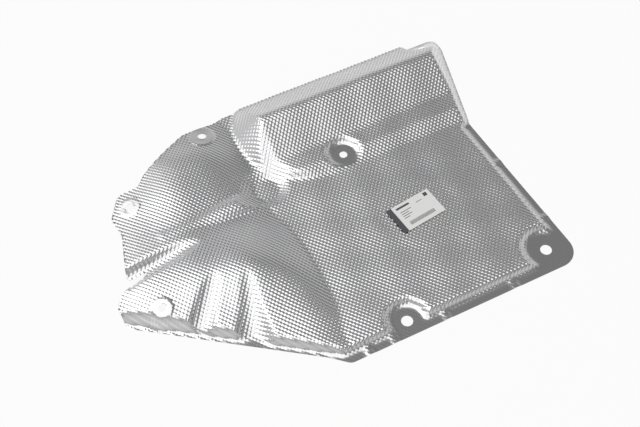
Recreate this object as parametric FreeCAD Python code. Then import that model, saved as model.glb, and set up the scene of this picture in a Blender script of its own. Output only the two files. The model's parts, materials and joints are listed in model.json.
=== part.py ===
"""Engine bay insulation pad: one pressed aluminium sheet with a paper label stuck on its panel.

The sheet is drawn over a die.  The die has a ridge, a flat panel and drawn lobes with a pocket, a
valley, a fold and two flutes, and steps down to a flat flange along the right and bottom edges, with
a flat pad round each fixing hole.  The sheet is what lies between the die and the same die lifted by
the sheet's thickness.
Millimetres, +Z up, X along the straight bottom edge, Y across the pad.
"""
import FreeCAD
import Part
import math
import os
from collections import namedtuple

Vector = FreeCAD.Vector
UP = Vector(0, 0, 1)

Dome = namedtuple("Dome", "x y half_length half_width turn height")
Fold = namedtuple("Fold", "path half_width height")
Pad = namedtuple("Pad", "place normal radius hole")
Bar = namedtuple("Bar", "start stop start_rise stop_rise start_radius stop_radius")
Step = namedtuple("Step", "left down radius")

# Sheet and step walls
SHEET_THICKNESS = 0.8
PANEL_RISE = 9.0          # flat panel above the flange
WALL_DRAFT = 30.0         # lean of the step walls from upright, degrees
PAD_DRAFT = 40.0          # lean of the walls round the pads

# Outline, measured from the press centre
RIGHT_EDGE = 286.0
TOP_EDGE = 213.0
BOTTOM_EDGE = -228.0
EDGE_LEAN = 16.0          # how far the right edge leans in towards the flange's top end
FLANGE_TOP = 44.0         # where the right flange ends
SETBACK = 12.0            # the edge beside the ridge starts this far in and above the flange's end
TAB_REACH = 23.0          # how far the top right tab stands out past the flange
TAB_CHAMFER = 8.0
TAB_DROP = 22.0
CORNER_RADIUS = 28.0
SOFT_RADIUS = 12.0
TIGHT_RADIUS = 5.0
NOTCH_RADIUS = 2.0

# Left outline, anticlockwise from the back edge's end: each corner's step left and down from the last
BACK_END_X = -56.0
LEFT_OUTLINE = {
    "back tab, right": Step(16.0, 5.0, SOFT_RADIUS),
    "back tab, left": Step(50.0, 3.0, SOFT_RADIUS),
    "shoulder, right": Step(28.0, 15.0, SOFT_RADIUS),
    "shoulder, left": Step(46.0, 29.0, SOFT_RADIUS),
    "neck": Step(18.0, 16.0, TIGHT_RADIUS),
    "ear, top": Step(30.0, -1.0, SOFT_RADIUS),
    "ear, side": Step(22.0, 33.0, SOFT_RADIUS),
    "ear, foot": Step(-3.0, 33.0, SOFT_RADIUS),
    "notch, mouth": Step(20.0, 66.0, TIGHT_RADIUS),
    "notch, end": Step(-36.0, 1.0, NOTCH_RADIUS),
    "lobe corner": Step(49.0, 21.0, TIGHT_RADIUS),
    "left tip": Step(14.0, 16.0, SOFT_RADIUS),
    "slanted edge": Step(-2.0, 26.0, SOFT_RADIUS),
}
SLANT_END_X = -92.0
SLANT_END_RISE = 20.0     # above the bottom edge
LOWER_TIP_STEP = 22.0     # the lower tip is this far right of the slanted edge's end

# Flange, lip and the beads pressed across the flange
RIGHT_FLANGE = 12.0
UPPER_FLANGE = 3.0        # what is left of the flange beside the ridge
BOTTOM_FLANGE = 14.0
LIP_WIDTH = 6.0           # lip along the slanted lower left edge
BEAD_RADIUS = 7.0
BEAD_HEIGHT = 2.0
RIGHT_BEADS = (-37.0, -149.0)
BOTTOM_BEADS = (180.0, 74.0, -4.0, -42.0)

# Ridge along the top: heights of the skin, and insets from the top edge
TOP_EDGE_RISE = 14.0
CREST_RISE = 48.0
CREST_INSET = 53.0
SHELF_RISE = 17.0
SHELF_BACK = 113.0
SHELF_FRONT = 144.0
STEP_FOOT = 164.0
CREST_RADIUS = 18.0
SHELF_RADIUS = 24.0
RIDGE_NOSE = -66.0        # foot of the ridge's rounded left end
NOSE_RADIUS = 110.0       # plan radius of that end at its foot
NOSE_INSET = 62.0         # its centre line below the top edge
NOSE_DRAFT = 48.0
PANEL_LEFT = -58.0        # the panel runs out under the lobes here

# Drawn forms of the left end
LOBE_BASE = 10.0
SHOULDER = Dome(-148.0, 138.0, 66.0, 50.0, 20.0, 24.0)
UPPER_LOBE = Dome(-190.0, 72.0, 64.0, 46.0, 55.0, 12.0)
LOWER_LOBE = Fold(((-246.0, -16.0), (-188.0, -28.0), (-134.0, -44.0)), 50.0, 24.0)
LOWER_SPUR = Fold(((-126.0, -44.0), (-104.0, -90.0), (-88.0, -136.0)), 42.0, 9.0)
LOBE_FALL = 24.0          # the lobes dive under the panel at their right end
FALL_START = -70.0
FALL_STOP = 40.0

# Scoops and grooves, with the height of their lowest line
LOBE_VALLEY = Bar((-290.0, 10.0), (-120.0, 26.0), 4.0, 34.0, 16.0, 12.0)
LEFT_FLUTE = Bar((-238.0, -120.0), (-174.0, -38.0), -2.0, 33.0, 34.0, 18.0)
RIGHT_FLUTE = Bar((-174.0, -154.0), (-137.0, -60.0), -4.0, 32.0, 40.0, 20.0)

# Fold that stands up between the upper lobe and the pocket, with the height of its crest
UPPER_FOLD = Bar((-216.0, 48.0), (-80.0, 57.0), 24.0, 22.0, 30.0, 18.0)
POCKET_X = -50.0
POCKET_Y = 68.0
POCKET_FLOOR = 3.0
POCKET_RADIUS = 20.0
POCKET_DRAFT = 60.0

# Fixing holes and their pads
LARGE_HOLE = 16.0
PANEL_HOLE = 11.5
TAB_HOLE = 12.0
CORNER_HOLE_INSET = 38.0
CORNER_HOLE_RISE = 33.0
CORNER_PAD = 29.0
BOTTOM_HOLE_X = 23.5
BOTTOM_HOLE_RISE = 22.0
BOTTOM_PAD = 24.0
CENTRE_HOLE_X = 74.0
CENTRE_HOLE_Y = 71.0
CENTRE_PAD = 21.0
TOP_TAB_PAD = 22.0
TOP_TAB_HOLE_INSET = 6.0
TOP_TAB_HOLE_DROP = 11.0
TOP_TAB_RISE = 8.0
TOP_TAB_LEAN = 31.0       # degrees
SIDE_TAB_PAD = 15.0
SIDE_HOLES = {            # right of and below a corner of the left outline
    "back tab, left": (26.0, 16.0),
    "ear, top": (8.0, 28.0),
    "left tip": (52.0, 30.0),
}

# Label
LABEL_LENGTH = 63.0
LABEL_WIDTH = 44.0
LABEL_THICKNESS = 0.2
LABEL_TURN = 7.2
LABEL_X = 122.0
LABEL_Y = -62.0

# Spans of the skin, and the stock of the die and its cutters
SKIN_STEP_X = 50.0
SKIN_STEP_Y = 42.0
SKIN_MARGIN = 24.0
DIE_DEPTH = 70.0
TOOL_REACH = 90.0
TOOL_SPAN = 1000.0


def smooth_share(value, start, stop):
    """Smooth 0 to 1 as value goes from start to stop."""
    share = min(1.0, max(0.0, (value - start) / (stop - start)))
    return share * share * (3.0 - 2.0 * share)


def dome_height(form, x, y):
    """Bell over an ellipse turned by an angle in degrees."""
    angle = math.radians(form.turn)
    east = x - form.x
    north = y - form.y
    along = east * math.cos(angle) + north * math.sin(angle)
    across = north * math.cos(angle) - east * math.sin(angle)
    return form.height * math.exp(-(along / form.half_length) ** 2 - (across / form.half_width) ** 2)


def run_distance(x, y, start, stop):
    """Distance in plan from a point to a straight run."""
    run_x = stop[0] - start[0]
    run_y = stop[1] - start[1]
    share = ((x - start[0]) * run_x + (y - start[1]) * run_y) / (run_x ** 2 + run_y ** 2)
    share = min(1.0, max(0.0, share))
    return math.hypot(x - start[0] - share * run_x, y - start[1] - share * run_y)


def fold_height(form, x, y):
    """Bell across a fold line."""
    nearest = min(run_distance(x, y, *run) for run in zip(form.path, form.path[1:]))
    return form.height * math.exp(-(nearest / form.half_width) ** 2)


def level_pads():
    corner = Vector(RIGHT_EDGE - CORNER_HOLE_INSET, BOTTOM_EDGE + CORNER_HOLE_RISE, 0)
    bottom = Vector(BOTTOM_HOLE_X, BOTTOM_EDGE + BOTTOM_HOLE_RISE, 0)
    centre = Vector(CENTRE_HOLE_X, CENTRE_HOLE_Y, PANEL_RISE)
    return [
        Pad(corner, UP, CORNER_PAD, LARGE_HOLE),
        Pad(bottom, UP, BOTTOM_PAD, LARGE_HOLE),
        Pad(centre, UP, CENTRE_PAD, PANEL_HOLE),
    ]


def top_right_pad():
    """Pad on the tab behind the ridge's right end, which leans to the back."""
    lean = math.radians(TOP_TAB_LEAN)
    place = Vector(RIGHT_EDGE - TOP_TAB_HOLE_INSET, TOP_EDGE - TOP_TAB_HOLE_DROP, TOP_TAB_RISE)
    return Pad(place, Vector(0, math.sin(lean), math.cos(lean)), TOP_TAB_PAD, TAB_HOLE)


def lobe_height(x, y):
    """Height of the drawn left end, which dives under the panel at its right."""
    height = LOBE_BASE
    for form in (SHOULDER, UPPER_LOBE):
        height += dome_height(form, x, y)
    for form in (LOWER_LOBE, LOWER_SPUR):
        height += fold_height(form, x, y)
    return height - LOBE_FALL * smooth_share(x, FALL_START, FALL_STOP)


def knot_row(start, stop, step):
    spans = max(4, round((stop - start) / step))
    return [start + (stop - start) * i / spans for i in range(spans + 1)]


def pole_places(knots):
    """Places of the poles that make a cubic run evenly along its own axis."""
    full = [knots[0]] * 3 + knots + [knots[-1]] * 3
    return [sum(full[i + 1:i + 4]) / 3.0 for i in range(len(full) - 4)]


def left_corners():
    """Corners (x, y, radius) of the left outline by name."""
    corners = {}
    x = BACK_END_X
    y = TOP_EDGE
    for name, step in LEFT_OUTLINE.items():
        x -= step.left
        y -= step.down
        corners[name] = (x, y, step.radius)
    return corners


def lobe_skin():
    """Free-form skin of the left end, whose two parameters run along X and Y."""
    left_tip = left_corners()["left tip"][0]
    knots_x = knot_row(left_tip - SKIN_MARGIN, FALL_STOP, SKIN_STEP_X)
    knots_y = knot_row(BOTTOM_EDGE - SKIN_MARGIN, TOP_EDGE + SKIN_MARGIN, SKIN_STEP_Y)
    places_y = pole_places(knots_y)
    poles = [[Vector(x, y, lobe_height(x, y)) for y in places_y] for x in pole_places(knots_x)]
    ends_x = [4] + [1] * (len(knots_x) - 2) + [4]
    ends_y = [4] + [1] * (len(knots_y) - 2) + [4]
    skin = Part.BSplineSurface()
    skin.buildFromPolesMultsKnots(poles, ends_x, ends_y, knots_x, knots_y, False, False, 3, 3)
    return skin


def left_pads():
    """Pads that lie in the skin's own plane at the left end."""
    skin = lobe_skin()
    corners = left_corners()
    pads = []
    for name, (right, below) in SIDE_HOLES.items():
        place = (corners[name][0] + right, corners[name][1] - below)
        pads.append(Pad(skin.value(*place), skin.normal(*place), SIDE_TAB_PAD, TAB_HOLE))
    return pads


def all_pads():
    return level_pads() + left_pads() + [top_right_pad()]


def rounded_wire(corners):
    """Closed wire through corners (x, y, radius), each rounded by a tangent arc."""
    touches = []
    edges = []
    for i, (x, y, radius) in enumerate(corners):
        here = Vector(x, y, 0)
        before = Vector(*corners[i - 1][:2], 0) - here
        after = Vector(*corners[(i + 1) % len(corners)][:2], 0) - here
        before.normalize()
        after.normalize()
        half = before.getAngle(after) / 2
        middle = before + after
        middle.normalize()
        inset = radius / math.tan(half)
        crown = here + middle * (radius / math.sin(half) - radius)
        touches.append((here + before * inset, here + after * inset))
        edges.append(Part.Arc(touches[-1][0], crown, touches[-1][1]).toShape())
    for i in range(len(corners)):
        edges.append(Part.makeLine(touches[i - 1][1], touches[i][0]))
    return Part.Wire(Part.__sortEdges__(edges))


def flange_edge_x(y):
    """The right edge leans in evenly from the corner to the flange's top end."""
    return RIGHT_EDGE - EDGE_LEAN * (y - BOTTOM_EDGE) / (FLANGE_TOP - BOTTOM_EDGE)


def upper_right_line():
    """Ends of the outer edge beside the ridge."""
    return (RIGHT_EDGE - SETBACK, FLANGE_TOP + SETBACK), (RIGHT_EDGE + TAB_REACH, TOP_EDGE - TAB_DROP)


def slanted_line():
    """Ends of the slanted lower left edge."""
    return left_corners()["slanted edge"][:2], (SLANT_END_X, BOTTOM_EDGE + SLANT_END_RISE)


def outline_prism():
    """The blank's outline, anticlockwise from the lower right corner."""
    wire = rounded_wire([
        (flange_edge_x(BOTTOM_EDGE), BOTTOM_EDGE, CORNER_RADIUS),
        (flange_edge_x(FLANGE_TOP), FLANGE_TOP, TIGHT_RADIUS),
        (*upper_right_line()[0], TIGHT_RADIUS),
        (*upper_right_line()[1], SOFT_RADIUS),
        (RIGHT_EDGE + TAB_REACH - TAB_CHAMFER, TOP_EDGE, SOFT_RADIUS),
        (BACK_END_X, TOP_EDGE, SOFT_RADIUS),
        *left_corners().values(),
        (*slanted_line()[1], SOFT_RADIUS),
        (SLANT_END_X + LOWER_TIP_STEP, BOTTOM_EDGE, SOFT_RADIUS),
    ])
    return Part.Face(wire).extrude(UP * 2 * TOOL_REACH).translated(UP * -TOOL_REACH)


def under_wall(start, stop, width, draft):
    """All that lies under the wall that rises, leaning in, beside a flange of some width.

    The flange's outer edge runs from start to stop, with the sheet on its left.
    """
    lean = math.tan(math.radians(draft))
    section = Part.makePolygon([
        Vector(lean * DIE_DEPTH - width, 0, -DIE_DEPTH),
        Vector(-lean * TOOL_REACH - width, 0, TOOL_REACH),
        Vector(-TOOL_SPAN, 0, TOOL_REACH),
        Vector(-TOOL_SPAN, 0, -DIE_DEPTH),
        Vector(lean * DIE_DEPTH - width, 0, -DIE_DEPTH),
    ])
    solid = Part.Face(section).extrude(Vector(0, 2 * TOOL_SPAN, 0)).translated(Vector(0, -TOOL_SPAN, 0))
    heading = math.degrees(math.atan2(stop[1] - start[1], stop[0] - start[0]))
    solid.rotate(Vector(0, 0, 0), UP, heading - 90.0)
    return solid.translated(Vector(*start, 0))


def ridge_block():
    """Panel, shelf and ridge: one section drawn along X, with a rounded, leaning left end."""
    fall = (CREST_RISE - TOP_EDGE_RISE) / CREST_INSET
    section = rounded_wire([
        (BOTTOM_EDGE - SKIN_MARGIN, -DIE_DEPTH, TIGHT_RADIUS),
        (TOP_EDGE + SKIN_MARGIN, -DIE_DEPTH, TIGHT_RADIUS),
        (TOP_EDGE + SKIN_MARGIN, TOP_EDGE_RISE - fall * SKIN_MARGIN, NOTCH_RADIUS),
        (TOP_EDGE - CREST_INSET, CREST_RISE, CREST_RADIUS),
        (TOP_EDGE - SHELF_BACK, SHELF_RISE, SHELF_RADIUS),
        (TOP_EDGE - SHELF_FRONT, SHELF_RISE, SOFT_RADIUS),
        (TOP_EDGE - STEP_FOOT, PANEL_RISE, SOFT_RADIUS),
        (BOTTOM_EDGE - SKIN_MARGIN, PANEL_RISE, NOTCH_RADIUS),
    ])
    face = Part.Face(section)
    face.Placement = FreeCAD.Placement(Vector(RIDGE_NOSE, 0, 0), FreeCAD.Rotation(Vector(1, 1, 1), 120))
    block = face.extrude(Vector(TOOL_SPAN, 0, 0))
    centre = Vector(RIDGE_NOSE + NOSE_RADIUS, TOP_EDGE - NOSE_INSET, 0)
    nose = Part.makeCone(NOSE_RADIUS, 0, NOSE_RADIUS / math.tan(math.radians(NOSE_DRAFT)), centre, UP)
    rest = Part.makeBox(TOOL_SPAN, TOOL_SPAN, TOOL_SPAN, centre - Vector(0, TOOL_SPAN / 2, TOOL_SPAN / 2))
    ridge = block.common(nose.fuse(rest))
    foot = Vector(PANEL_LEFT, -TOOL_SPAN / 2, -DIE_DEPTH)
    panel = Part.makeBox(TOOL_SPAN, TOOL_SPAN, DIE_DEPTH + PANEL_RISE, foot)
    return ridge.fuse(panel)


def half_space_above(y):
    return Part.makeBox(2 * TOOL_SPAN, TOOL_SPAN, 2 * TOOL_SPAN, Vector(-TOOL_SPAN, y, -TOOL_SPAN))


def right_walls():
    """The lower wall stands in from the flange, the upper one close to the edge."""
    lower_start = (flange_edge_x(BOTTOM_EDGE), BOTTOM_EDGE)
    lower_stop = (flange_edge_x(FLANGE_TOP), FLANGE_TOP)
    lower = under_wall(lower_start, lower_stop, RIGHT_FLANGE, WALL_DRAFT).cut(half_space_above(FLANGE_TOP))
    upper = under_wall(*upper_right_line(), UPPER_FLANGE, WALL_DRAFT).common(half_space_above(FLANGE_TOP))
    return lower.fuse(upper)


def round_tool(place, normal, foot_radius, height, draft):
    """Round tool that stands on a pad and widens along a normal."""
    widen = math.tan(math.radians(draft)) * height
    return Part.makeCone(foot_radius, foot_radius + widen, height, place, normal)


def bead(x, y, heading):
    """Half-round bead pressed across the flange, as die stock."""
    along = Vector(math.cos(math.radians(heading)), math.sin(math.radians(heading)), 0)
    axis = Vector(x, y, BEAD_HEIGHT - BEAD_RADIUS) - along * BOTTOM_FLANGE
    return Part.makeCylinder(BEAD_RADIUS, 2 * BOTTOM_FLANGE, axis, along)


def flange_beads():
    right = [bead(flange_edge_x(y) - RIGHT_FLANGE, y, 0.0) for y in RIGHT_BEADS]
    return right + [bead(x, BOTTOM_EDGE + BOTTOM_FLANGE, 90.0) for x in BOTTOM_BEADS]


def tapered_bar(bar, side):
    """Tapering round bar: over a groove's lowest line with side 1, under a fold's crest with side -1."""
    start = Vector(*bar.start, bar.start_rise + side * bar.start_radius)
    stop = Vector(*bar.stop, bar.stop_rise + side * bar.stop_radius)
    axis = stop - start
    return Part.makeCone(bar.start_radius, bar.stop_radius, axis.Length, start, axis)


def die():
    lobes = lobe_skin().toShape().extrude(UP * -2 * DIE_DEPTH)
    grooves = [tapered_bar(groove, 1) for groove in (LOBE_VALLEY, LEFT_FLUTE, RIGHT_FLUTE)]
    body = lobes.fuse(tapered_bar(UPPER_FOLD, -1)).cut(grooves).fuse(ridge_block())
    pocket_place = Vector(POCKET_X, POCKET_Y, POCKET_FLOOR)
    pocket = round_tool(pocket_place, UP, POCKET_RADIUS, TOOL_REACH, POCKET_DRAFT)
    body = body.cut(pocket)
    body = body.common(right_walls())
    bottom_line = (SLANT_END_X, BOTTOM_EDGE), (RIGHT_EDGE, BOTTOM_EDGE)
    body = body.common(under_wall(*bottom_line, BOTTOM_FLANGE, WALL_DRAFT))
    body = body.common(under_wall(*slanted_line(), LIP_WIDTH, WALL_DRAFT))
    stock = Part.makeBox(TOOL_SPAN, TOOL_SPAN, DIE_DEPTH, Vector(-TOOL_SPAN / 2, -TOOL_SPAN / 2, -DIE_DEPTH))
    body = body.fuse([stock] + flange_beads())
    for pad in left_pads():
        body = body.fuse(round_tool(pad.place, pad.normal * -1, pad.radius, pad.place.z, PAD_DRAFT))
    for pad in all_pads():
        body = body.cut(round_tool(pad.place, pad.normal, pad.radius, TOOL_REACH, PAD_DRAFT))
    return body


def heat_shield():
    tool = die()
    sheet = tool.translated(UP * SHEET_THICKNESS).common(outline_prism()).cut(tool)
    for pad in all_pads():
        drill = Part.makeCylinder(pad.hole / 2, 2 * pad.hole, pad.place - pad.normal * pad.hole, pad.normal)
        sheet = sheet.cut(drill)
    return sheet.Solids[0]


def label():
    """Paper label, turned a little, flat on the panel."""
    corner = Vector(-LABEL_LENGTH / 2, -LABEL_WIDTH / 2, 0)
    paper = Part.makeBox(LABEL_LENGTH, LABEL_WIDTH, LABEL_THICKNESS, corner)
    paper.rotate(Vector(0, 0, 0), UP, LABEL_TURN)
    return paper.translated(Vector(LABEL_X, LABEL_Y, PANEL_RISE + SHEET_THICKNESS))


def main():
    pieces = {"heat_shield": heat_shield(), "label": label()}
    box = pieces["heat_shield"].optimalBoundingBox()
    to_origin = Vector(-box.Center.x, -box.Center.y, -box.ZMin)
    os.makedirs("parts", exist_ok=True)
    for name, piece in pieces.items():
        piece.translated(to_origin).exportStep(f"parts/{name}.step")
        print(name, piece.isValid(), len(piece.Solids), round(piece.Volume, 1), to_origin)


if __name__ == "__main__":
    main()
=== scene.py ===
"""Looks of the engine bay insulation pad: the embossed skin of the pressed sheet and its paper label."""
import json
import math
from collections import namedtuple

import bpy
import numpy as np
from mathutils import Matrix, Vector
from mathutils.bvhtree import BVHTree
from mathutils.geometry import delaunay_2d_cdt


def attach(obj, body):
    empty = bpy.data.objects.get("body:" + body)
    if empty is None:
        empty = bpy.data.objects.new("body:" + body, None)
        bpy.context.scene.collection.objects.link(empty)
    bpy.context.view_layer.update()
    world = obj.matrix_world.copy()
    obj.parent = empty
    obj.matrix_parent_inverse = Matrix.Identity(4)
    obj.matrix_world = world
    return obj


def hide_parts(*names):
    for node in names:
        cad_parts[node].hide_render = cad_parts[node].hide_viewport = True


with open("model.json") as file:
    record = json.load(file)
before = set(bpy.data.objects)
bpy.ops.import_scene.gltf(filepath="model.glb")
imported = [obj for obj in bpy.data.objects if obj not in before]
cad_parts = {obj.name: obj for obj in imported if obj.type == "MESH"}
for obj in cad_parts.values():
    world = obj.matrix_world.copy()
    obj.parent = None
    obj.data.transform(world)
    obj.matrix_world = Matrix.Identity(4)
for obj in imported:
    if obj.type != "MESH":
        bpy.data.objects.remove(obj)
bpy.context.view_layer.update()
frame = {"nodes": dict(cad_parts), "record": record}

MM = 0.001

# Embossing: a chequer of bumps and dimples, aligned with the straight edges
EMBOSS_PITCH_X = 6.0 * MM
EMBOSS_PITCH_Y = 7.6 * MM
EMBOSS_DEPTH = 2.1 * MM
EMBOSS_SHARE = 6                # lattice lines per pitch, every other crossing used

# Sheet
SHEET_THICKNESS = 0.8 * MM
CREASE_SOFTNESS = 2.6 * MM      # press radius that softens the CAD creases
SHARP_ANGLE = math.radians(70.0)

# Reading the CAD sheet
WELD_DECIMALS = 7               # decimals of a metre to which coincident corners agree
UPWARD = 0.02                   # least upward share of an upward face's normal
SURVEY_STEP = 2.0 * MM          # grid on which the CAD heights are read
SURVEY_MARGIN = 6 * SURVEY_STEP
RAY_HEADROOM = 100.0 * MM
DOWN = Vector((0.0, 0.0, -1.0))
BLUR_REACH = 3                  # reach of the softening, in softness widths
LEAST_WEIGHT = 1e-6             # a cell with less round it gets the mean height

# Rims and plan mesh
RIM_STEP = 2.6 * MM
RIM_CLEARANCE = 1.1 * MM        # from the rims to the embossed field
HOLE_POINTS = 30
LEAST_LOOP_POINTS = 12
BLOCK_SIZE = 2000               # points measured together against a rim
PLAN_TOLERANCE = 1e-9

# Coined flats: the flange and a disc round each hole
FLANGE_HEIGHT = 1.3 * MM
EMBOSSED_HEIGHT = 3 * FLANGE_HEIGHT    # from here up the embossing is whole
FLANGE_LEFT_END = -95.0 * MM
PAD_RADII = {
    "corner_hole": 27.0 * MM,
    "bottom_hole": 23.0 * MM,
    "centre_hole": 20.0 * MM,
    "upper_left_hole": 17.0 * MM,
    "left_hole": 13.0 * MM,
    "lower_left_hole": 12.0 * MM,
    "top_right_hole": 20.0 * MM,
}
PAD_FADE = 4.0 * MM
COINED_DEPTH_SHARE = 0.13

# Slack of the drawn sheet: a slow swell between the flats
SWELL_HEIGHT = 0.55 * MM
SWELL_WAVES = ((95.0 * MM, 170.0 * MM), (-210.0 * MM, 120.0 * MM))
SWELL_CLEARANCE = 20.0 * MM     # from the label

# Label: its turn, in degrees, is the one with the smallest rectangle round it
LABEL_TURN_LIMIT = 45.0
LABEL_TURN_STEP = 0.1
Label = namedtuple("Label", "corner length width low high")

# Print on the label, in mm from its lower left corner; a field is left, bottom, width and height
HEADING_FIELD = (5.0, 36.5, 22.0, 3.2)
SQUARE_FIELD = (52.0, 35.0, 6.0, 6.0)
NOTE_FIELD = (36.0, 33.0, 10.0, 0.9)
LINE_LENGTHS = (18.0, 12.0, 15.0, 9.0)
LINE_LEFT = 7.0
LINE_TOP = 30.0
LINE_PITCH = 3.6
LINE_HEIGHT = 1.0
BAR_COUNT = 28
BAR_LEFT = 9.0
BAR_BOTTOM = 6.0
BAR_PITCH = 1.5
BAR_WIDTH = 0.8
BAR_HEIGHT = 6.0
PRINT_LIFT = 0.03 * MM

# Dark strip beside the label: painted shade laid on the sheet
STRIP_WIDTH = 8.0 * MM
STRIP_THICKNESS = 0.25 * MM
STRIP_SECTIONS = 12
STRIP_CORNERS = 4               # of each section

# Finishes
ALUMINIUM_COLOUR = (0.72, 0.72, 0.73, 1.0)
ALUMINIUM_ROUGHNESS = 0.2
STREAK_SCALE = (40.0, 1400.0, 40.0)
STREAK_DETAIL = 3.0
STREAK_STRENGTH = 0.25
STREAK_HEIGHT = 0.05 * MM
PAPER_TONES = ((0.86, 0.86, 0.84, 1.0), (0.93, 0.93, 0.92, 1.0))
PAPER_ROUGHNESS = 0.7
FIBRE_SCALE = 900.0
# Dark of the print, also the painted shade of the strip beside the label
INK_AND_PAINTED_SHADE_COLOUR = (0.09, 0.09, 0.10, 1.0)
INK_ROUGHNESS = 0.6
FLOOR_COLOUR = (0.9, 0.9, 0.9, 1.0)
FLOOR_ROUGHNESS = 0.9
FLOOR_GLOW = 0.9

# Camera and studio
CAMERA_TARGET = Vector((0.6 * MM, 7.5 * MM, 0.0))
CAMERA_AZIMUTH = math.radians(-27.0)
CAMERA_ELEVATION = math.radians(55.0)
CAMERA_DISTANCE = 1.618
CAMERA_LENS = 65.0
CAMERA_SENSOR = 36.0
FLOOR_HALF = 4.0
ROOM_LEVELS = ((0.0, 0.75), (0.40, 0.65), (0.62, 0.42), (0.80, 0.19), (1.0, 0.32))  # height, brightness
SOFTBOX_DISTANCE = 4.0
SOFTBOXES = (                   # name, way to it, width, power
    ("front_softbox", (-0.24, -0.16, 0.96), 4.3, 48.0),
    ("back_softbox", (-0.42, 0.42, 0.80), 3.4, 36.0),
)


def welded_triangles(obj):
    """Corner places and triangles of a CAD mesh, with coincident corners made one."""
    mesh = obj.data
    mesh.calc_loop_triangles()
    places = np.empty(len(mesh.vertices) * 3)
    mesh.vertices.foreach_get("co", places)
    corners = np.empty(len(mesh.loop_triangles) * 3, dtype=int)
    mesh.loop_triangles.foreach_get("vertices", corners)
    rounded = np.round(places.reshape(-1, 3), WELD_DECIMALS)
    places, same = np.unique(rounded, axis=0, return_inverse=True)
    triangles = same.reshape(-1)[corners].reshape(-1, 3)
    distinct = (triangles[:, 0] != triangles[:, 1]) & (triangles[:, 1] != triangles[:, 2])
    distinct &= triangles[:, 2] != triangles[:, 0]
    return places, triangles[distinct]


def left_turn(heading, way):
    """Angle from one plan direction to another, positive to the left."""
    return math.atan2(heading[0] * way[1] - heading[1] * way[0], heading @ way)


def outer_rim(places, triangles):
    """Plan loop of the sheet's outer edge: the outermost way along the open edges of the upward faces."""
    a, b, c = (places[triangles[:, i]] for i in range(3))
    normals = np.cross(b - a, c - a)
    upward = triangles[normals[:, 2] > UPWARD * np.linalg.norm(normals, axis=1)]
    edges = set()
    for i in range(3):
        edges.update(zip(upward[:, i].tolist(), upward[:, (i + 1) % 3].tolist()))
    ahead = {}
    for begin, end in edges:
        if (end, begin) not in edges:
            ahead.setdefault(begin, []).append(end)
    first = max(ahead, key=lambda corner: places[corner, 0])
    loop = [first]
    heading = np.array([0.0, 1.0])
    while True:
        here = places[loop[-1], :2]
        after = min(ahead[loop[-1]], key=lambda corner: left_turn(heading, places[corner, :2] - here))
        if after == first:
            return places[loop][:, :2]
        heading = places[after, :2] - here
        loop.append(after)


def hole_rims():
    """Clockwise plan loops of the fixing holes where they meet the upper side."""
    turns = np.linspace(2 * math.pi, 0.0, HOLE_POINTS, endpoint=False)
    loops = []
    for mount in frame["record"]["mounts"]:
        if mount["kind"] == "bore":
            axis = Vector(mount["axis"]).normalized()
            across = axis.orthogonal().normalized()
            beside = axis.cross(across)
            radius = mount["dims"]["r_mm"] * MM
            centre = Vector(mount["pos_m"]) + axis * mount["dims"]["length_mm"] * MM / 2
            rim = [centre + (across * math.cos(turn) + beside * math.sin(turn)) * radius for turn in turns]
            loops.append(np.array([place[:2] for place in rim]))
    return loops


def resampled(loop, step):
    """Points evenly spaced round a closed plan loop."""
    closed = np.vstack([loop, loop[:1]])
    runs = np.linalg.norm(np.diff(closed, axis=0), axis=1)
    along = np.concatenate([[0.0], np.cumsum(runs)])
    count = max(LEAST_LOOP_POINTS, int(round(along[-1] / step)))
    places = np.linspace(0.0, along[-1], count, endpoint=False)
    return np.stack([np.interp(places, along, closed[:, i]) for i in range(2)], axis=1)


def inside_polygon(points, loop):
    """Which points lie inside a closed plan loop, by counting crossings."""
    inside = np.zeros(len(points), dtype=bool)
    previous = np.roll(loop, 1, axis=0)
    for (x0, y0), (x1, y1) in zip(previous, loop):
        if y0 == y1:
            continue
        crosses = (y0 > points[:, 1]) != (y1 > points[:, 1])
        inside ^= crosses & (points[:, 0] < (x1 - x0) * (points[:, 1] - y0) / (y1 - y0) + x0)
    return inside


class Survey:
    """Heights of the CAD sheet's upper side on a plan grid, softened at the creases."""

    def __init__(self, places, triangles):
        tree = BVHTree.FromPolygons([Vector(p) for p in places], triangles.tolist())
        low = places.min(axis=0) - SURVEY_MARGIN
        high = places.max(axis=0) + SURVEY_MARGIN
        self.low = low
        self.xs = np.arange(low[0], high[0], SURVEY_STEP)
        self.ys = np.arange(low[1], high[1], SURVEY_STEP)
        heights = np.full((len(self.xs), len(self.ys)), np.nan)
        top = float(high[2]) + RAY_HEADROOM
        for i, x in enumerate(self.xs):
            for j, y in enumerate(self.ys):
                hit = tree.ray_cast(Vector((x, y, top)), DOWN)[0]
                if hit is not None:
                    heights[i, j] = hit.z
        self.heights = softened(heights, CREASE_SOFTNESS / SURVEY_STEP)

    def at(self, points):
        """Softened height at plan points."""
        u = (points[:, 0] - self.low[0]) / SURVEY_STEP
        v = (points[:, 1] - self.low[1]) / SURVEY_STEP
        i = np.clip(u.astype(int), 0, len(self.xs) - 2)
        j = np.clip(v.astype(int), 0, len(self.ys) - 2)
        fu = u - i
        fv = v - j
        h = self.heights
        near = h[i, j] * (1 - fv) + h[i, j + 1] * fv
        far = h[i + 1, j] * (1 - fv) + h[i + 1, j + 1] * fv
        return near * (1 - fu) + far * fu


def softened(heights, sigma):
    """Gaussian blur that uses only the cells with a height, and spreads a little past the rim."""
    known = ~np.isnan(heights)
    values = np.where(known, heights, 0.0)
    weights = known.astype(float)
    reach = int(math.ceil(BLUR_REACH * sigma))
    kernel = np.exp(-0.5 * (np.arange(-reach, reach + 1) / sigma) ** 2)
    for axis in (0, 1):
        values = blurred(values, kernel, axis)
        weights = blurred(weights, kernel, axis)
    fill = values.sum() / weights.sum()
    return np.where(weights > LEAST_WEIGHT, values / np.maximum(weights, LEAST_WEIGHT), fill)


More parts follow.
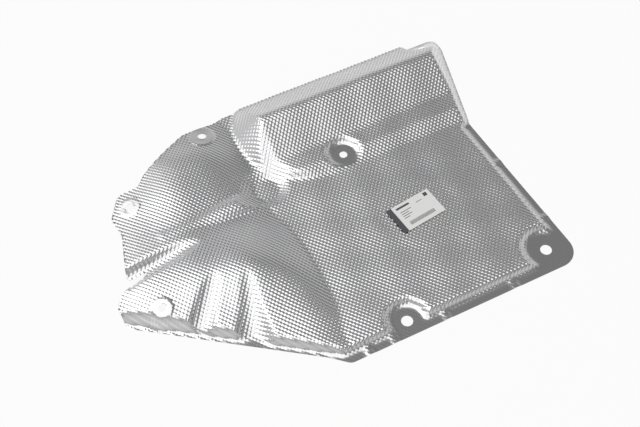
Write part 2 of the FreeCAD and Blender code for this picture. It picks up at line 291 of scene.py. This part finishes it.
def blurred(grid, kernel, axis):
    """Sum of a grid's shifted copies along one axis, weighted by a kernel."""
    reach = len(kernel) // 2
    total = np.zeros_like(grid)
    for shift, weight in zip(range(-reach, reach + 1), kernel):
        total += weight * np.roll(grid, shift, axis=axis)
    return total


def smooth_share(value, start, stop):
    """Smooth step from 0 at start to 1 at stop."""
    share = np.clip((value - start) / (stop - start), 0.0, 1.0)
    return share * share * (3.0 - 2.0 * share)


def label_frame():
    """Lower left corner, long and short sides and the lower and upper heights of the label's CAD solid."""
    places = np.array([v.co for v in frame["nodes"]["label"].data.vertices])
    turns = np.radians(np.arange(-LABEL_TURN_LIMIT, LABEL_TURN_LIMIT, LABEL_TURN_STEP))
    areas = []
    for turn in turns:
        u = places[:, 0] * math.cos(turn) + places[:, 1] * math.sin(turn)
        v = places[:, 1] * math.cos(turn) - places[:, 0] * math.sin(turn)
        areas.append(np.ptp(u) * np.ptp(v))
    turn = turns[int(np.argmin(areas))]
    along = np.array([math.cos(turn), math.sin(turn)])
    across = np.array([-math.sin(turn), math.cos(turn)])
    corner = along * (places[:, :2] @ along).min() + across * (places[:, :2] @ across).min()
    length = along * np.ptp(places[:, :2] @ along)
    width = across * np.ptp(places[:, :2] @ across)
    return Label(corner, length, width, places[:, 2].min(), places[:, 2].max())


def coined_share(points, heights):
    """1 where the sheet is coined flat, 0 where it carries the full embossing."""
    share = 1.0 - smooth_share(heights, FLANGE_HEIGHT, EMBOSSED_HEIGHT)
    share *= smooth_share(points[:, 0], FLANGE_LEFT_END, FLANGE_LEFT_END + PAD_FADE)
    for mount in frame["record"]["mounts"]:
        radius = PAD_RADII.get(mount["name"])
        if radius:
            distance = np.hypot(points[:, 0] - mount["pos_m"][0], points[:, 1] - mount["pos_m"][1])
            share = np.maximum(share, 1.0 - smooth_share(distance, radius, radius + PAD_FADE))
    return share


def emboss(points):
    """0 on the bumps' tops, -1 in the dimples."""
    wave = np.cos(2 * math.pi * points[:, 0] / EMBOSS_PITCH_X)
    wave = wave * np.cos(2 * math.pi * points[:, 1] / EMBOSS_PITCH_Y)
    return (wave - 1.0) / 2.0


def swell(points, coined, label):
    """Slow rise and fall of the sheet, none on the flats and under the label."""
    wave = np.ones(len(points))
    for length_x, length_y in SWELL_WAVES:
        wave = wave * np.sin(2 * math.pi * (points[:, 0] / length_x + points[:, 1] / length_y))
    middle = label.corner + label.length / 2 + label.width / 2
    reach = np.linalg.norm(label.length + label.width) / 2 + STRIP_WIDTH
    distance = np.linalg.norm(points - middle, axis=1)
    return SWELL_HEIGHT * wave * (1.0 - coined) * smooth_share(distance, reach, reach + SWELL_CLEARANCE)


def lattice_points(loops):
    """Plan points of the embossed field on a diagonal lattice, clear of every rim."""
    steps = np.array([EMBOSS_PITCH_X / EMBOSS_SHARE, EMBOSS_PITCH_Y / EMBOSS_SHARE])
    low = np.floor(loops[0].min(axis=0) / steps).astype(int)
    high = np.ceil(loops[0].max(axis=0) / steps).astype(int)
    columns, rows = (np.arange(low[i], high[i] + 1) for i in range(2))
    columns, rows = np.meshgrid(columns, rows, indexing="ij")
    used = (columns + rows) % 2 == 0
    points = np.stack([columns[used], rows[used]], axis=1) * steps
    keep = inside_polygon(points, loops[0])
    for hole in loops[1:]:
        keep &= ~inside_polygon(points, hole)
    points = points[keep]
    for loop in loops:
        points = points[clear_of(loop, points)]
    return points


def clear_of(loop, points):
    """Which plan points keep the rim clearance from a loop."""
    clear = np.ones(len(points), dtype=bool)
    dense = resampled(loop, RIM_CLEARANCE)
    low = dense.min(axis=0) - 2 * RIM_CLEARANCE
    high = dense.max(axis=0) + 2 * RIM_CLEARANCE
    near = np.flatnonzero(np.all((points > low) & (points < high), axis=1))
    for block in np.array_split(near, max(1, len(near) // BLOCK_SIZE)):
        gaps = np.linalg.norm(points[block, None, :] - dense[None, :, :], axis=2).min(axis=1)
        clear[block[gaps < RIM_CLEARANCE]] = False
    return clear


def triangulated(loops, points):
    """Plan triangles between the rims, through the embossed field."""
    corners = np.vstack(loops + [points])
    edges = []
    owner = np.full(len(corners), -1)
    first = 0
    for index, loop in enumerate(loops):
        ids = np.arange(first, first + len(loop))
        owner[ids] = index
        edges += list(zip(ids.tolist(), np.roll(ids, -1).tolist()))
        first += len(loop)
    result = delaunay_2d_cdt([Vector(c) for c in corners], edges, [], 0, PLAN_TOLERANCE)
    triangles = np.array(result[2])
    owners = owner[triangles]
    centres = corners[triangles].mean(axis=1)
    on_outer = np.all(owners == 0, axis=1)
    keep = np.ones(len(triangles), dtype=bool)
    keep[on_outer] = inside_polygon(centres[on_outer], loops[0])
    for index in range(1, len(loops)):
        keep &= ~np.all(owners == index, axis=1)
    return corners, triangles[keep]


def sheet_form():
    """Softened heights of the sheet's upper side, and its rims in plan."""
    places, triangles = welded_triangles(frame["nodes"]["heat_shield"])
    loops = [resampled(outer_rim(places, triangles), RIM_STEP)] + hole_rims()
    return Survey(places, triangles), loops


def pressed(plan, survey, label):
    """Places on the upper side over plan points, with the swell and the embossing."""
    heights = survey.at(plan)
    coined = coined_share(plan, heights)
    heights = heights + swell(plan, coined, label)
    depth = EMBOSS_DEPTH * (1.0 - (1.0 - COINED_DEPTH_SHARE) * coined)
    depth = np.minimum(depth, np.maximum(heights - SHEET_THICKNESS / 2, 0.0))
    return np.column_stack([plan, heights + depth * emboss(plan)])


def underside(upper, triangles, loops):
    """Places and faces of the underside, with the thin rims that join it to the upper side."""
    count = len(upper)
    rim_count = sum(len(loop) for loop in loops)
    lower = upper - np.array([0.0, 0.0, SHEET_THICKNESS])
    lower[:, 2] = np.maximum(lower[:, 2], 0.0)
    faces = [triangles[:, ::-1]]
    first = 0
    for loop in loops:
        ids = np.arange(first, first + len(loop))
        after = np.roll(ids, -1)
        faces.append(np.column_stack([ids + count, ids, after]))
        faces.append(np.column_stack([ids + count, after, after + count]))
        first += len(loop)
    return np.vstack([lower, upper[:rim_count]]), np.vstack(faces)


def side_mesh(name, places, faces):
    """Smooth mesh of one side of the sheet, sharp only at its rims."""
    mesh = bpy.data.meshes.new(name)
    mesh.from_pydata(places.tolist(), [], faces.tolist())
    mesh.validate()
    mesh.polygons.foreach_set("use_smooth", np.ones(len(mesh.polygons), dtype=bool))
    mesh.set_sharp_from_angle(angle=SHARP_ANGLE)
    mesh.update()
    return mesh


def print_fields():
    """Plain fields on the label."""
    fields = [HEADING_FIELD, SQUARE_FIELD]
    for row, length in enumerate(LINE_LENGTHS):
        fields.append((LINE_LEFT, LINE_TOP - LINE_PITCH * row, length, LINE_HEIGHT))
    fields.append(NOTE_FIELD)
    for bar in range(BAR_COUNT):
        fields.append((BAR_LEFT + BAR_PITCH * bar, BAR_BOTTOM, BAR_WIDTH, BAR_HEIGHT))
    return fields


def label_print(name, label):
    """Thin ink fields laid on the label."""
    along = label.length / np.linalg.norm(label.length)
    across = label.width / np.linalg.norm(label.width)
    corners = []
    faces = []
    for left, bottom, width, height in print_fields():
        first = len(corners)
        for u, v in ((0, 0), (width, 0), (width, height), (0, height)):
            spot = label.corner + along * (left + u) * MM + across * (bottom + v) * MM
            corners.append((spot[0], spot[1], label.high + PRINT_LIFT))
        faces.append((first, first + 1, first + 2, first + 3))
    mesh = bpy.data.meshes.new(name)
    mesh.from_pydata(corners, [], faces)
    mesh.update()
    return mesh


def label_painted_shade_strip(name, label, survey):
    """Thin dark strip of painted shade that lies on the sheet along the label's left edge."""
    outward = -label.length / np.linalg.norm(label.length) * STRIP_WIDTH
    corners = []
    for share in np.linspace(0.0, 1.0, STRIP_SECTIONS):
        beside = label.corner + label.width * share
        edges = np.array([beside + outward, beside])
        heights = np.maximum(survey.at(edges), label.low)
        outer, inner = [(x, y, z) for (x, y), z in zip(edges, heights)]
        corners += [outer, inner]
        corners += [(x, y, z + STRIP_THICKNESS) for x, y, z in (inner, outer)]
    ids = range(len(corners))
    faces = [tuple(ids[:STRIP_CORNERS]), tuple(reversed(ids[-STRIP_CORNERS:]))]
    for first in ids[:-STRIP_CORNERS:STRIP_CORNERS]:
        for i in range(STRIP_CORNERS):
            here = first + i
            after = first + (i + 1) % STRIP_CORNERS
            faces.append((here + STRIP_CORNERS, after + STRIP_CORNERS, after, here))
    mesh = bpy.data.meshes.new(name)
    mesh.from_pydata(corners, [], faces)
    mesh.update()
    return mesh


def new_material(name):
    """Material with its node tree and its main shader."""
    material = bpy.data.materials.new(name)
    material.use_nodes = True
    return material, material.node_tree, material.node_tree.nodes["Principled BSDF"]


def aluminium():
    """Bright rolled foil with fine rolling streaks."""
    material, tree, shader = new_material("embossed_aluminium")
    shader.inputs["Base Color"].default_value = ALUMINIUM_COLOUR
    shader.inputs["Metallic"].default_value = 1.0
    shader.inputs["Roughness"].default_value = ALUMINIUM_ROUGHNESS
    place = tree.nodes.new("ShaderNodeTexCoord")
    stretch = tree.nodes.new("ShaderNodeMapping")
    stretch.inputs["Scale"].default_value = STREAK_SCALE
    tree.links.new(place.outputs["Object"], stretch.inputs["Vector"])
    streaks = tree.nodes.new("ShaderNodeTexNoise")
    streaks.inputs["Scale"].default_value = 1.0
    streaks.inputs["Detail"].default_value = STREAK_DETAIL
    tree.links.new(stretch.outputs["Vector"], streaks.inputs["Vector"])
    bump = tree.nodes.new("ShaderNodeBump")
    bump.inputs["Strength"].default_value = STREAK_STRENGTH
    bump.inputs["Distance"].default_value = STREAK_HEIGHT
    tree.links.new(streaks.outputs["Fac"], bump.inputs["Height"])
    tree.links.new(bump.outputs["Normal"], shader.inputs["Normal"])
    return material


def paper():
    """Matt white label stock with a faint fibre."""
    material, tree, shader = new_material("label_paper")
    place = tree.nodes.new("ShaderNodeTexCoord")
    fibre = tree.nodes.new("ShaderNodeTexNoise")
    fibre.inputs["Scale"].default_value = FIBRE_SCALE
    tint = tree.nodes.new("ShaderNodeValToRGB")
    for element, tone in zip(tint.color_ramp.elements, PAPER_TONES):
        element.color = tone
    tree.links.new(place.outputs["Object"], fibre.inputs["Vector"])
    tree.links.new(fibre.outputs["Fac"], tint.inputs["Fac"])
    tree.links.new(tint.outputs["Color"], shader.inputs["Base Color"])
    shader.inputs["Roughness"].default_value = PAPER_ROUGHNESS
    return material


def ink():
    """Dark grey print, and the painted shade of the strip beside the label."""
    material, _, shader = new_material("label_ink_and_painted_shade")
    shader.inputs["Base Color"].default_value = INK_AND_PAINTED_SHADE_COLOUR
    shader.inputs["Roughness"].default_value = INK_ROUGHNESS
    return material


def floor_white():
    """White that glows like paper where it is seen straight or in the metal, and keeps a soft shadow."""
    material, tree, shader = new_material("floor_white")
    shader.inputs["Base Color"].default_value = FLOOR_COLOUR
    shader.inputs["Roughness"].default_value = FLOOR_ROUGHNESS
    glow = tree.nodes.new("ShaderNodeEmission")
    path = tree.nodes.new("ShaderNodeLightPath")
    seen = path.outputs["Is Camera Ray"]
    for ray in ("Is Glossy Ray", "Is Transmission Ray"):
        either = tree.nodes.new("ShaderNodeMath")
        either.operation = "MAXIMUM"
        tree.links.new(seen, either.inputs[0])
        tree.links.new(path.outputs[ray], either.inputs[1])
        seen = either.outputs["Value"]
    share = tree.nodes.new("ShaderNodeMath")
    share.operation = "MULTIPLY"
    share.inputs[1].default_value = FLOOR_GLOW
    tree.links.new(seen, share.inputs[0])
    mix = tree.nodes.new("ShaderNodeMixShader")
    tree.links.new(share.outputs["Value"], mix.inputs["Fac"])
    tree.links.new(shader.outputs["BSDF"], mix.inputs[1])
    tree.links.new(glow.outputs["Emission"], mix.inputs[2])
    tree.links.new(mix.outputs["Shader"], tree.nodes["Material Output"].inputs["Surface"])
    return material


def add_piece(name, mesh, material):
    """Object of a mesh and its material, in the scene."""
    piece = bpy.data.objects.new(name, mesh)
    bpy.context.scene.collection.objects.link(piece)
    mesh.materials.append(material)
    return piece


def add_floor():
    """Square floor that the part lies on."""
    mesh = bpy.data.meshes.new("floor")
    h = FLOOR_HALF
    mesh.from_pydata([(-h, -h, 0), (h, -h, 0), (h, h, 0), (-h, h, 0)], [], [(0, 1, 2, 3)])
    add_piece("floor", mesh, floor_white())


def add_world():
    """A studio room: pale walls under a dark ceiling."""
    world = bpy.data.worlds.new("studio")
    bpy.context.scene.world = world
    world.use_nodes = True
    nodes = world.node_tree.nodes
    links = world.node_tree.links
    place = nodes.new("ShaderNodeTexCoord")
    parts = nodes.new("ShaderNodeSeparateXYZ")
    links.new(place.outputs["Generated"], parts.inputs["Vector"])
    ramp = nodes.new("ShaderNodeValToRGB")
    elements = ramp.color_ramp.elements
    elements.remove(elements[0])
    for index, (height, level) in enumerate(ROOM_LEVELS):
        element = elements[0] if index == 0 else elements.new(1.0)
        element.position = height
        element.color = (level, level, level, 1.0)
    links.new(parts.outputs["Z"], ramp.inputs["Fac"])
    links.new(ramp.outputs["Color"], nodes["Background"].inputs["Color"])


def add_softbox(name, way, width, power):
    """Large round area light that faces the part."""
    lamp = bpy.data.lights.new(name, "AREA")
    lamp.shape = "DISK"
    lamp.size = width
    lamp.energy = power
    holder = bpy.data.objects.new(name, lamp)
    way = Vector(way).normalized()
    holder.location = way * SOFTBOX_DISTANCE
    holder.rotation_euler = way.to_track_quat("Z", "Y").to_euler()
    bpy.context.scene.collection.objects.link(holder)


def add_camera():
    """Camera at the photograph's viewing angle."""
    camera = bpy.data.cameras.new("camera")
    camera.lens = CAMERA_LENS
    camera.sensor_width = CAMERA_SENSOR
    level = math.cos(CAMERA_ELEVATION)
    back = Vector((math.sin(CAMERA_AZIMUTH) * level, -math.cos(CAMERA_AZIMUTH) * level,
                   math.sin(CAMERA_ELEVATION)))
    holder = bpy.data.objects.new("camera", camera)
    holder.location = CAMERA_TARGET + back * CAMERA_DISTANCE
    holder.rotation_euler = back.to_track_quat("Z", "Y").to_euler()
    bpy.context.scene.collection.objects.link(holder)
    bpy.context.scene.camera = holder


# Sheet
survey, rims = sheet_form()
label_spot = label_frame()
plan, triangles = triangulated(rims, lattice_points(rims))
upper = pressed(plan, survey, label_spot)
sides = {"sheet_upper_side": (upper, triangles), "sheet_underside": underside(upper, triangles, rims)}
foil = aluminium()
for name, (places, faces) in sides.items():
    side = add_piece(name, side_mesh(name, places, faces), foil)
    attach(side, "root")
    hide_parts("heat_shield")

# Label
label = frame["nodes"]["label"]
label.data.materials.clear()
label.data.materials.append(paper())
print_ink_and_painted_shade = ink()
# The print and the strip of painted shade beside the label share the dark ink material
for mesh in (label_print("label_print", label_spot), label_painted_shade_strip("label_painted_shade_strip", label_spot, survey)):
    marks = add_piece(mesh.name, mesh, print_ink_and_painted_shade)
    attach(marks, "root")

# Studio
add_floor()
add_world()
for softbox in SOFTBOXES:
    add_softbox(*softbox)
add_camera()
bpy.context.scene.view_settings.view_transform = "Standard"
